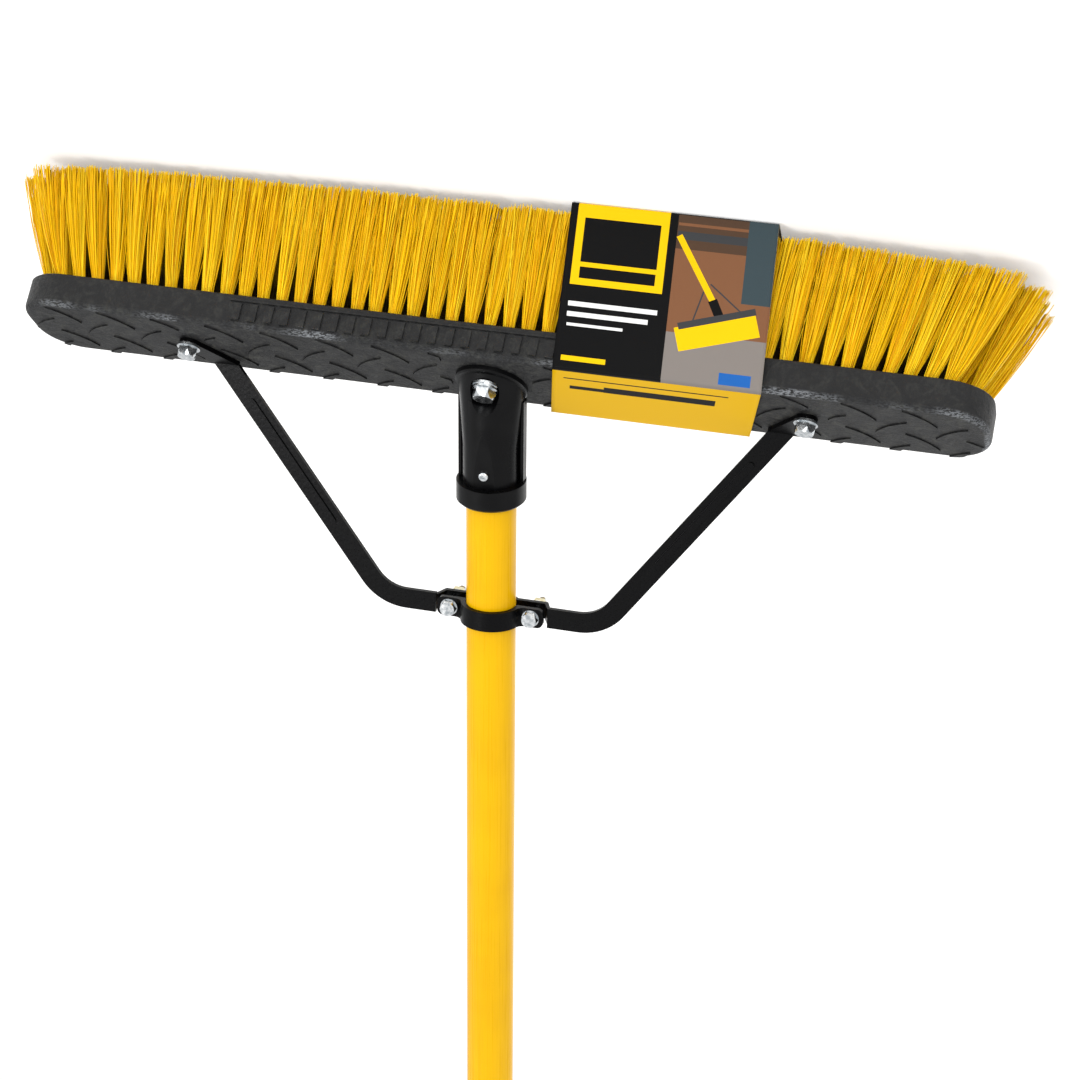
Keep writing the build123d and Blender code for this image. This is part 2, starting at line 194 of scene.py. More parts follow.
floorMaterial = startMaterial(
    "pale matte studio floor",
    {"Base Color": toLinear("#F7F7F6"), "Roughness": 0.9, "Emission Color": (1, 1, 1, 1),
     "Emission Strength": 0.3})[0]
floor = makePiece("studioFloor", [(-40, -40, 0), (40, -40, 0), (40, 40, 0), (-40, 40, 0)],
                  [(0, 1, 2, 3)], floorMaterial)
floor.location.z = cadLow.z - 0.0004
print("camera, light and floor set")


def structuralFoam():
    # structural foam polypropylene, moulded: swirled dull charcoal with a torn, pale skin
    # along the rounded top edge, so the eye sees a heavy cheap moulding, not smooth plastic
    foam = {
        "dark": "#0C0C0E", "mid": "#1A1A1B", "light": "#3E3E3A", "worn": "#85888C",
        # deep: colour of the painted shade that darkens the block's sides
        "deep": "#070708", "roughness": 0.5,
        "swirlMm": 12.0, "skinMm": 2.4, "fleckMm": 0.9, "patchMm": 60.0,
        "halfLong": 0.305, "halfWide": 0.036, "corner": 0.028, "roundFrom": 0.0925, "roundSize": 0.005,
    }
    material, tree, shader = startMaterial(
        "structural foam polypropylene, swirled moulded skin",
        {"Roughness": foam["roughness"], "Specular IOR Level": 0.3})
    place = addNode(tree, "ShaderNodeTexCoord")
    split = addNode(tree, "ShaderNodeSeparateXYZ", {}, {0: place.outputs["Object"]})
    # distance in from the block's outline, from its rounded rectangle
    sides = []
    for axis, half in (("X", foam["halfLong"]), ("Y", foam["halfWide"])):
        size = addNode(tree, "ShaderNodeMath", {"operation": "ABSOLUTE"}, {0: split.outputs[axis]})
        past = addNode(tree, "ShaderNodeMath",
                       {"operation": "SUBTRACT", 1: half - foam["corner"]}, {0: size})
        sides.append(addNode(tree, "ShaderNodeMath", {"operation": "MAXIMUM", 1: 0.0}, {0: past}))
    both = addNode(tree, "ShaderNodeCombineXYZ", {}, {0: sides[0], 1: sides[1]})
    reach = addNode(tree, "ShaderNodeVectorMath", {"operation": "LENGTH"}, {0: both})
    # out past the corner circle's start and up past the rounding's start: their sum peaks
    # half way round the top edge, where the skin is torn
    cornerStart = foam["corner"] - foam["roundSize"]
    outward = addNode(tree, "ShaderNodeMath", {"operation": "SUBTRACT", 1: cornerStart},
                      {0: reach.outputs["Value"]})
    upward = addNode(tree, "ShaderNodeMath", {"operation": "SUBTRACT", 1: foam["roundFrom"]},
                     {0: split.outputs["Z"]})
    rounding = addNode(tree, "ShaderNodeMath", {"operation": "ADD"}, {0: outward, 1: upward})
    edge = addNode(tree, "ShaderNodeMapRange",
                   {"interpolation_type": "SMOOTHSTEP", "From Min": 0.0056, "From Max": 0.0068},
                   {"Value": rounding})
    swirl = addNode(tree, "ShaderNodeTexNoise",
                    {"Scale": perMm(foam["swirlMm"]), "Detail": 4.0, "Distortion": 1.6},
                    {"Vector": place.outputs["Object"]})
    skin = addNode(tree, "ShaderNodeTexNoise",
                   {"Scale": perMm(foam["skinMm"]), "Detail": 5.0, "Roughness": 0.62},
                   {"Vector": place.outputs["Object"]})
    drawn = addNode(tree, "ShaderNodeMapping", {"Scale": (0.4, 1, 1)},
                    {"Vector": place.outputs["Object"]})
    fleck = addNode(tree, "ShaderNodeTexNoise",
                    {"Scale": perMm(foam["fleckMm"]), "Detail": 3.0, "Roughness": 0.7},
                    {"Vector": drawn})
    tone = addNode(tree, "ShaderNodeMix", {"data_type": "FLOAT", 0: 0.55},
                   {2: swirl.outputs["Fac"], 3: skin.outputs["Fac"]})
    colour = addNode(tree, "ShaderNodeValToRGB",
                     {"stops": [(0.34, foam["dark"]), (0.49, foam["mid"]), (0.68, foam["light"])]},
                     {0: tone})
    torn = addNode(tree, "ShaderNodeMapRange",
                   {"interpolation_type": "SMOOTHSTEP", "From Min": 0.43, "From Max": 0.58},
                   {"Value": fleck.outputs["Fac"]})
    patch = addNode(tree, "ShaderNodeTexNoise", {"Scale": perMm(foam["patchMm"]), "Detail": 2.0},
                    {"Vector": place.outputs["Object"]})
    patchy = addNode(tree, "ShaderNodeMapRange",
                     {"interpolation_type": "SMOOTHSTEP", "From Min": 0.44, "From Max": 0.62,
                      "To Min": 0.06},
                     {"Value": patch.outputs["Fac"]})
    strip = addNode(tree, "ShaderNodeMath", {"operation": "MULTIPLY"}, {0: edge, 1: patchy})
    wear = addNode(tree, "ShaderNodeMath", {"operation": "MULTIPLY"}, {0: torn, 1: strip})
    final = addNode(tree, "ShaderNodeMix", {"data_type": "RGBA", 7: toLinear(foam["worn"])},
                    {0: wear, 6: colour})
    # painted shade: the sides are darkened towards deep black the more they turn from facing up, so the
    # top reads lighter as if lit from above
    facing = addNode(tree, "ShaderNodeSeparateXYZ", {}, {0: place.outputs["Normal"]})
    paintedSideShadeMask = addNode(tree, "ShaderNodeMapRange",
                    {"From Min": 0.1, "From Max": 0.75, "To Min": 0.5, "To Max": 0.0},
                    {"Value": facing.outputs["Z"]})
    paintedSideShadeColour = addNode(tree, "ShaderNodeMix", {"data_type": "RGBA", 7: toLinear(foam["deep"])},
                     {0: paintedSideShadeMask, 6: final.outputs[2]})
    tree.links.new(paintedSideShadeColour.outputs[2], shader.inputs["Base Color"])
    gloss = addNode(tree, "ShaderNodeMapRange",
                    {"From Min": 0.3, "From Max": 0.7, "To Min": 0.42, "To Max": 0.68}, {"Value": skin})
    tree.links.new(gloss.outputs[0], shader.inputs["Roughness"])
    shallow = addNode(tree, "ShaderNodeMath", {"operation": "MULTIPLY", 1: 0.8}, {0: fleck})
    tornRelief = addNode(tree, "ShaderNodeMath", {"operation": "MULTIPLY"}, {0: shallow, 1: edge})
    height = addNode(tree, "ShaderNodeMath", {"operation": "ADD"}, {0: tone, 1: tornRelief})
    bump = addNode(tree, "ShaderNodeBump", {"Strength": 0.8, "Distance": 0.0016}, {"Height": height})
    tree.links.new(bump.outputs[0], shader.inputs["Normal"])
    return material


def mouldedPolypropylene():
    # polypropylene, polished mould: near black, smooth, soft wide highlights that show form
    plastic = {"colour": "#050506", "rub": "#0B0B0C", "roughness": 0.28,
               "grainMm": 1.6, "rippleMm": 18.0}
    material, tree, shader = startMaterial(
        "polypropylene, smooth moulded black",
        {"Roughness": plastic["roughness"], "IOR": 1.49, "Specular IOR Level": 0.16})
    place = addNode(tree, "ShaderNodeTexCoord")
    grain = addNode(tree, "ShaderNodeTexNoise", {"Scale": perMm(plastic["grainMm"]), "Detail": 4.0},
                    {"Vector": place.outputs["Object"]})
    ripple = addNode(tree, "ShaderNodeTexNoise", {"Scale": perMm(plastic["rippleMm"]), "Detail": 2.0},
                     {"Vector": place.outputs["Object"]})
    colour = addNode(tree, "ShaderNodeValToRGB",
                     {"stops": [(0.45, plastic["colour"]), (0.75, plastic["rub"])]}, {0: ripple})
    tree.links.new(colour.outputs[0], shader.inputs["Base Color"])
    gloss = addNode(tree, "ShaderNodeMapRange",
                    {"From Min": 0.3, "From Max": 0.7, "To Min": 0.24, "To Max": 0.38},
                    {"Value": ripple})
    tree.links.new(gloss.outputs[0], shader.inputs["Roughness"])
    bump = addNode(tree, "ShaderNodeBump", {"Strength": 0.25, "Distance": 0.00025}, {"Height": grain})
    tree.links.new(bump.outputs[0], shader.inputs["Normal"])
    return material


def enamelledSteel():
    # mild steel, dipped black enamel: deep black with a slight orange peel and soft shine
    enamel = {"colour": "#030304", "thin": "#0C0C0D", "peelMm": 2.4, "dustMm": 0.8}
    material, tree, shader = startMaterial(
        "mild steel, black enamelled with orange peel",
        {"Roughness": 0.36, "IOR": 1.5, "Specular IOR Level": 0.12})
    place = addNode(tree, "ShaderNodeTexCoord")
    peel = addNode(tree, "ShaderNodeTexNoise", {"Scale": perMm(enamel["peelMm"]), "Detail": 2.0},
                   {"Vector": place.outputs["Object"]})
    dust = addNode(tree, "ShaderNodeTexNoise", {"Scale": perMm(enamel["dustMm"]), "Detail": 3.0},
                   {"Vector": place.outputs["Object"]})
    colour = addNode(tree, "ShaderNodeValToRGB",
                     {"stops": [(0.6, enamel["colour"]), (0.8, enamel["thin"])]}, {0: dust})
    tree.links.new(colour.outputs[0], shader.inputs["Base Color"])
    gloss = addNode(tree, "ShaderNodeMapRange",
                    {"From Min": 0.3, "From Max": 0.7, "To Min": 0.24, "To Max": 0.40}, {"Value": dust})
    tree.links.new(gloss.outputs[0], shader.inputs["Roughness"])
    bump = addNode(tree, "ShaderNodeBump", {"Strength": 0.35, "Distance": 0.0003}, {"Height": peel})
    tree.links.new(bump.outputs[0], shader.inputs["Normal"])
    return material


def platedMetal(name, settings):
    # plated or plain metal: a bright skin with cloudy passivation and fine forming marks
    material, tree, shader = startMaterial(name, {"Metallic": 1.0, "Roughness": settings["roughness"]})
    place = addNode(tree, "ShaderNodeTexCoord")
    cloud = addNode(tree, "ShaderNodeTexNoise", {"Scale": perMm(settings["cloudMm"]), "Detail": 4.0},
                    {"Vector": place.outputs["Object"]})
    marks = addNode(tree, "ShaderNodeTexNoise", {"Scale": perMm(settings["markMm"]), "Detail": 2.0},
                    {"Vector": place.outputs["Object"]})
    colour = addNode(tree, "ShaderNodeValToRGB",
                     {"stops": [(0.35, settings["dark"]), (0.65, settings["light"])]}, {0: cloud})
    tree.links.new(colour.outputs[0], shader.inputs["Base Color"])
    gloss = addNode(tree, "ShaderNodeMapRange",
                    {"From Min": 0.3, "From Max": 0.7, "To Min": settings["roughness"] * 0.7,
                     "To Max": settings["roughness"] * 1.5}, {"Value": cloud})
    tree.links.new(gloss.outputs[0], shader.inputs["Roughness"])
    bump = addNode(tree, "ShaderNodeBump", {"Strength": 0.3, "Distance": 0.0002}, {"Height": marks})
    tree.links.new(bump.outputs[0], shader.inputs["Normal"])
    return material


def gelcoatFibreglass():
    # pultruded fibreglass with a pigmented gelcoat: warm yellow, glossy, faint lengthwise fibres
    glass = {"colour": "#E6B000", "light": "#E9B400", "shade": "#E1AA00", "fibreMm": 0.9,
             "stretch": 0.012, "mottleMm": 40.0, "leanDeg": 46.0}
    material, tree, shader = startMaterial(
        "pultruded fibreglass, glossy yellow gelcoat",
        {"Roughness": 0.34, "IOR": 1.52, "Coat Weight": 0.08, "Coat Roughness": 0.15,
         "Specular IOR Level": 0.12})
    place = addNode(tree, "ShaderNodeTexCoord")
    # lay the pattern along the tube, then stretch it so noise becomes fibres
    upright = addNode(tree, "ShaderNodeMapping",
                      {"Rotation": (math.radians(glass["leanDeg"]), 0, 0)},
                      {"Vector": place.outputs["Object"]})
    drawn = addNode(tree, "ShaderNodeMapping", {"Scale": (1, 1, glass["stretch"])}, {"Vector": upright})
    fibre = addNode(tree, "ShaderNodeTexNoise", {"Scale": perMm(glass["fibreMm"]), "Detail": 3.0},
                    {"Vector": drawn})
    mottle = addNode(tree, "ShaderNodeTexNoise", {"Scale": perMm(glass["mottleMm"]), "Detail": 2.0},
                     {"Vector": place.outputs["Object"]})
    tone = addNode(tree, "ShaderNodeMix", {"data_type": "FLOAT", 0: 0.5}, {2: fibre, 3: mottle})
    colour = addNode(tree, "ShaderNodeValToRGB",
                     {"stops": [(0.38, glass["shade"]), (0.5, glass["colour"]), (0.66, glass["light"])]},
                     {0: tone})
    tree.links.new(colour.outputs[0], shader.inputs["Base Color"])
    gloss = addNode(tree, "ShaderNodeMapRange",
                    {"From Min": 0.3, "From Max": 0.7, "To Min": 0.24, "To Max": 0.36}, {"Value": fibre})
    tree.links.new(gloss.outputs[0], shader.inputs["Roughness"])
    bump = addNode(tree, "ShaderNodeBump", {"Strength": 0.12, "Distance": 0.0001}, {"Height": fibre})
    tree.links.new(bump.outputs[0], shader.inputs["Normal"])
    return material


def turnedBeech():
    # beech dowel, turned: pale brown with short dark pores along the grain
    wood = {"light": "#D8B48A", "dark": "#A87B4E", "poreMm": 1.2, "stretch": 0.08, "leanDeg": 46.0}
    material, tree, shader = startMaterial("beech, turned dowel", {"Roughness": 0.62})
    place = addNode(tree, "ShaderNodeTexCoord")
    upright = addNode(tree, "ShaderNodeMapping",
                      {"Rotation": (math.radians(wood["leanDeg"]), 0, 0)},
                      {"Vector": place.outputs["Object"]})
    drawn = addNode(tree, "ShaderNodeMapping", {"Scale": (1, 1, wood["stretch"])}, {"Vector": upright})
    pores = addNode(tree, "ShaderNodeTexNoise", {"Scale": perMm(wood["poreMm"]), "Detail": 5.0},
                    {"Vector": drawn})
    colour = addNode(tree, "ShaderNodeValToRGB",
                     {"stops": [(0.35, wood["dark"]), (0.6, wood["light"])]}, {0: pores})
    tree.links.new(colour.outputs[0], shader.inputs["Base Color"])
    bump = addNode(tree, "ShaderNodeBump", {"Strength": 0.4, "Distance": 0.0002}, {"Height": pores})
    tree.links.new(bump.outputs[0], shader.inputs["Normal"])
    return material


zincSteel = platedMetal("zinc plated steel, bright drawn", {
    "light": "#F2F4F5", "dark": "#BAC0C4", "roughness": 0.17, "cloudMm": 3.0, "markMm": 0.7})
zincYellow = platedMetal("zinc plated steel, yellow passivated", {
    "light": "#E6E0C2", "dark": "#C2B78C", "roughness": 0.3, "cloudMm": 2.4, "markMm": 0.6})
brassTurned = platedMetal("brass, turned", {
    "light": "#E0C070", "dark": "#B58B3C", "roughness": 0.28, "cloudMm": 3.0, "markMm": 0.4})
wireSteel = platedMetal("steel wire, cold drawn", {
    "light": "#C9CCCE", "dark": "#8F9498", "roughness": 0.32, "cloudMm": 2.0, "markMm": 0.5})
blackPlastic = mouldedPolypropylene()
blackEnamel = enamelledSteel()
finishes = {
    "head_block": structuralFoam(),
    "handle_socket": blackPlastic, "handle_end_cap": blackPlastic,
    "steel_brace": blackEnamel, "clamp_band": blackEnamel,
    "fibreglass_handle": gelcoatFibreglass(), "handle_core_plug": turnedBeech(),
    "socket_bolt": zincSteel, "socket_washer": zincSteel, "brace_bolt_left": zincSteel,
    "brace_bolt_right": zincSteel, "clamp_bolt_left": zincSteel, "clamp_bolt_right": zincSteel,
    "clamp_washers": zincSteel, "handle_screw": zincSteel, "clamp_nuts": zincYellow,
    "socket_threaded_insert": brassTurned, "brace_threaded_inserts": brassTurned,
    "tuft_anchor_wires": wireSteel,
}
for nodeName, material in finishes.items():
    dress(nodeName, material)
print("hard pieces dressed:", len(finishes))


bristle = {
    "rowPitch": 14.2, "tuftPitch": 12.1, "halfOuter": 23, "halfInner": 24,
    "boltClear": 10.5, "endFrom": 270.0,
    "endOpenOuter": 1.7, "endOpenInner": 1.3, "sink": 12.2,
    "holdWide": 46.4, "holdPast": 18.0, "endFlare": 20.5, "sideFlare": 9.0, "reach": 290.4,
    "rootRadius": 3.3, "tipAcross": 8.0, "tipDeep": 6.0, "filaments": 128, "thick": 0.6,
    "rings": 6, "sides": 3, "seed": 7,
}


def petMonofilament():
    # crimped PET monofilament: bright yellow strands, no two quite the same, that catch thin
    # highlights; the cut tips are duller and the inner rows' roots are darkened with painted shade
    fibre = {"deep": "#F3B600", "main": "#FBCB00", "pale": "#FFE22C", "tip": "#FFDC3C",
             "shade": "#0A0600", "crimpMm": 1.4}
    material, tree, shader = startMaterial(
        "PET monofilament, extruded yellow",
        {"Roughness": 0.42, "IOR": 1.57, "Specular IOR Level": 0.15})
    tint = addNode(tree, "ShaderNodeAttribute", {"attribute_name": "strand"})
    split = addNode(tree, "ShaderNodeSeparateColor", {}, {0: tint.outputs["Color"]})
    colour = addNode(tree, "ShaderNodeValToRGB",
                     {"stops": [(0.0, fibre["deep"]), (0.45, fibre["main"]), (1.0, fibre["pale"])]},
                     {0: split.outputs[0]})
    cut = addNode(tree, "ShaderNodeMapRange", {"From Min": 0.965, "From Max": 1.0, "To Max": 0.75},
                  {"Value": split.outputs[1]})
    final = addNode(tree, "ShaderNodeMix", {"data_type": "RGBA", 7: toLinear(fibre["tip"])},
                    {0: cut, 6: colour})
    # painted shade: tint channel 2 mixes the roots of the inner rows towards near black
    paintedRootShade = addNode(tree, "ShaderNodeMix", {"data_type": "RGBA", 7: toLinear(fibre["shade"])},
                   {0: split.outputs[2], 6: final.outputs[2]})
    tree.links.new(paintedRootShade.outputs[2], shader.inputs["Base Color"])
    place = addNode(tree, "ShaderNodeTexCoord")
    crimp = addNode(tree, "ShaderNodeTexNoise", {"Scale": perMm(fibre["crimpMm"]), "Detail": 1.0},
                    {"Vector": place.outputs["Object"]})
    gloss = addNode(tree, "ShaderNodeMapRange",
                    {"From Min": 0.3, "From Max": 0.7, "To Min": 0.30, "To Max": 0.48}, {"Value": crimp})
    tree.links.new(gloss.outputs[0], shader.inputs["Roughness"])
    bump = addNode(tree, "ShaderNodeBump", {"Strength": 0.2, "Distance": 0.0002}, {"Height": crimp})
    tree.links.new(bump.outputs[0], shader.inputs["Normal"])
    return material


def boltCentres():
    names = ("brace_bolt_left", "brace_bolt_right", "socket_bolt")
    return [(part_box(n)[0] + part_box(n)[1]) / 2 for n in names]


def tuftRoots(row, bolts):
    half = bristle["halfOuter"] if abs(row) == 2 else bristle["halfInner"]
    y = row * bristle["rowPitch"] * mm
    roots = []
    for k in range(-half, half + 1):
        x = k * bristle["tuftPitch"] * mm
        if min(math.hypot(x - b.x, y - b.y) for b in bolts) > bristle["boltClear"] * mm:
            roots.append((x, y))
    return roots


def sleeveReach(x):
    # how far out the strands may stand where the card sleeve holds them, in metres
    low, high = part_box("card_sleeve")
    past = bristle["holdPast"] * mm
    held = low.x - past < x < high.x + past
    return bristle["holdWide"] * mm if held else 1.0


def strandRow(name, row, bolts, material):
    rng = np.random.default_rng(bristle["seed"] + row)
    roots = tuftRoots(row, bolts)
    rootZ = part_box(name)[1].z - bristle["sink"] * mm  # underside of the block, where the tufts leave it
    count, rings, sides = bristle["filaments"], bristle["rings"], bristle["sides"]
    golden = math.pi * (3 - math.sqrt(5))
    allPoints, allTints = [], []
    for x, y in roots:
        out = abs(x) / (bristle["reach"] * mm)
        across = math.tan(math.radians(bristle["endFlare"] * out ** 3.4)) * (1 if x > 0 else -1)
        along = math.tan(math.radians(bristle["sideFlare"] * (row / 2) * (1 - 0.5 * out ** 2)))
        # every tuft is cut to one length, so flared ones stop higher
        stop = rootZ * (1 - math.hypot(1, along) / math.hypot(1, along, across))
        order = np.arange(count)
        radius = np.sqrt((order + 0.5) / count)
        angle = order * golden + rng.uniform(0, 6.28)
        offset = np.stack([radius * np.cos(angle), radius * np.sin(angle)], 1)
        offset += rng.normal(0, 0.05, (count, 2))
        start = np.array([x, y]) + offset * bristle["rootRadius"] * mm
        spread = np.array([bristle["tipAcross"], bristle["tipDeep"]]) * mm * rng.normal(1.0, 0.06)
        atEnd = abs(x) > bristle["endFrom"] * mm
        if atEnd:
            # nothing stands beyond the end tufts, so they open wider
            spread[0] *= bristle["endOpenOuter"] if abs(row) == 2 else bristle["endOpenInner"]
        fall = rootZ - stop
        end = np.array([x + across * fall, y + along * fall]) + offset * spread
        end += rng.normal(0, 0.0011, (count, 2)) + rng.normal(0, 0.0007, 2)
        limit = sleeveReach(x)
        end[:, 1] = np.clip(end[:, 1], -limit, limit)
        cut = stop + np.abs(rng.normal(0, 0.0009, count)) + rng.uniform(0, 0.0011)
        bow = rng.normal(0, 0.0008, (count, 2)) + rng.normal(0, 0.0003, 2)
        shade = np.clip(rng.normal(0.42, 0.27, count) + rng.normal(0, 0.05), 0, 1)
        t = np.linspace(0, 1, rings)[None, :, None]
        swell = 0.9 * t + 0.1 * (1 - (1 - t) ** 2)  # the tuft opens evenly from its hole
        flat = start[:, None] * (1 - swell) + end[:, None] * swell + bow[:, None] * np.sin(math.pi * t)
        z = (rootZ + 0.0015) * (1 - t[..., 0]) + cut[:, None] * t[..., 0]
        path = np.concatenate([flat, z[..., None]], 2)
        turnBy = rng.uniform(0, 6.28, count)[:, None] + np.arange(sides)[None] * 2 * math.pi / sides
        width = bristle["thick"] * mm / 2 * rng.uniform(0.85, 1.1, count)
        rim = np.stack([np.cos(turnBy), np.sin(turnBy), 0 * turnBy], 2) * width[:, None, None]
        allPoints.append((path[:, :, None, :] + rim[:, None, :, :]).reshape(-1, 3))
        tints = np.zeros((count, rings, sides, 4), np.float32)
        tints[..., 0] = shade[:, None, None]
        tints[..., 1] = t[:, :, 0][..., None]
        # painted shade: the inner rows' strands are darkened towards near black near the block, end tufts
        # left bright
        if abs(row) < 2 and not atEnd:
            paintedRootShade = np.clip((0.66 - t[0, :, 0]) / 0.4, 0, 1) * 0.97
            tints[..., 2] = paintedRootShade[None, :, None]
        tints[..., 3] = 1
        allTints.append(tints.reshape(-1, 4))
    points = np.concatenate(allPoints)
    total = len(roots) * count
    base = (np.arange(total) * rings * sides)[:, None, None]
    ring = (np.arange(rings - 1) * sides)[None, :, None]
    side = np.arange(sides)[None, None, :]
    after = (side + 1) % sides
    quads = np.stack([base + ring + side, base + ring + sides + side,
                      base + ring + sides + after, base + ring + after], -1).reshape(-1, 4)
    caps = (np.arange(total) * rings * sides)[:, None] + (rings - 1) * sides + np.arange(sides)[None]
    piece = makePiece(name + "_strands", points.tolist(), quads.tolist() + caps.tolist(), material)
    tint = piece.data.attributes.new("strand", "FLOAT_COLOR", "POINT")
    tint.data.foreach_set("color", np.concatenate(allTints).ravel())
    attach(piece, "broom")
    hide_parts(name)
    return piece


strandMaterial = petMonofilament()
bolts = boltCentres()
rowNames = ["bristle_row_front", "bristle_row_front_inner", "bristle_row_middle",
            "bristle_row_back_inner", "bristle_row_back"]
for row, rowName in enumerate(rowNames):
    strandRow(rowName, row - 2, bolts, strandMaterial)
print("bristle rows strung")


thread = {"radius": 2.47, "ridge": 0.32, "pitch": 0.9, "length": 5.4, "around": 28, "steps": 64,
          "endGap": 0.45, "fadeFrom": 0.4, "fadeOver": 0.8}


def boltThread(nodeName, pieceName):
    # the rolled thread on the free end of a bolt, as a skin over its plain CAD shank
    end, direction = axisOf(nodeName)
    sideways = np.cross(direction, (1, 0, 0))
    sideways /= np.linalg.norm(sideways)
    third = np.cross(direction, sideways)
    points, faces = [], []
    around, steps = thread["around"], thread["steps"]
    for i in range(steps + 1):
        back = thread["length"] * (1 - i / steps) + thread["endGap"]
        fade = min(1.0, (back - thread["fadeFrom"]) / thread["fadeOver"])
        for j in range(around):
            angle = 2 * math.pi * j / around
            turns = back / thread["pitch"] + j / around
            ridge = 1 - abs(2 * (turns % 1) - 1)
            radius = (thread["radius"] + thread["ridge"] * ridge * fade) * mm
            outward = sideways * math.cos(angle) + third * math.sin(angle)
            points.append(end - direction * back * mm + outward * radius)
            if i < steps:
                k = (j + 1) % around
                here, after = i * around, (i + 1) * around
                faces.append((here + j, here + k, after + k, after + j))
    piece = makePiece(pieceName, points, faces, zincSteel)
    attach(piece, "broom")


boltThread("clamp_bolt_left", "clampBoltThreadLeft")
boltThread("clamp_bolt_right", "clampBoltThreadRight")
print("threads cut")


sleeve = {
    "card": 0.6, "roof": 98.9, "floor": -4.2, "wallTop": 37.9, "wallLow": 47.5, "fold": 1.3,
    "flapFrom": 54.0, "flapTo": 40.0, "columns": 40, "step": 3.0,
    "printWide": 125.3,
    # where the two cut edges cross each fold, the card having pulled askew
    "startX": {"frontLow": -39.0, "frontTop": -46.0, "backTop": -31.5, "backLow": -38.5},
    "endX": {"frontLow": -166.0, "frontTop": -172.5, "backTop": -157.0, "backLow": -163.5},
}


def sleevePath():
    # inside line of the card as (y, z), from under the flap round to the flap's end
    def wallY(z):
        part = (z - sleeve["floor"]) / (sleeve["roof"] - sleeve["floor"])
        return sleeve["wallLow"] + (sleeve["wallTop"] - sleeve["wallLow"]) * part

    corners = [(wallY(sleeve["flapFrom"]), sleeve["flapFrom"]),
               (sleeve["wallLow"], sleeve["floor"]), (-sleeve["wallLow"], sleeve["floor"]),
               (-sleeve["wallTop"], sleeve["roof"]), (sleeve["wallTop"], sleeve["roof"]),
               (wallY(sleeve["flapTo"]), sleeve["flapTo"])]
    line = [Vector(corners[0])]
    marks = []
    for i in range(1, 5):
        here, before, after = Vector(corners[i]), Vector(corners[i - 1]), Vector(corners[i + 1])
        a = here + (before - here).normalized() * sleeve["fold"]
        b = here + (after - here).normalized() * sleeve["fold"]
        previous = line[-1]
        steps = max(1, int((a - previous).length / sleeve["step"]))
        for k in range(1, steps + 1):
            line.append(previous.lerp(a, k / steps))
        marks.append(len(line) + 2)
        for k in range(1, 5):
            t = k / 4
            line.append(a * (1 - t) ** 2 + here * 2 * t * (1 - t) + b * t * t)
    previous, last = line[-1], Vector(corners[5])
    steps = int((last - previous).length / sleeve["step"])
    for k in range(1, steps + 1):
        line.append(previous.lerp(last, k / steps))
    return np.array([tuple(p) for p in line]), marks


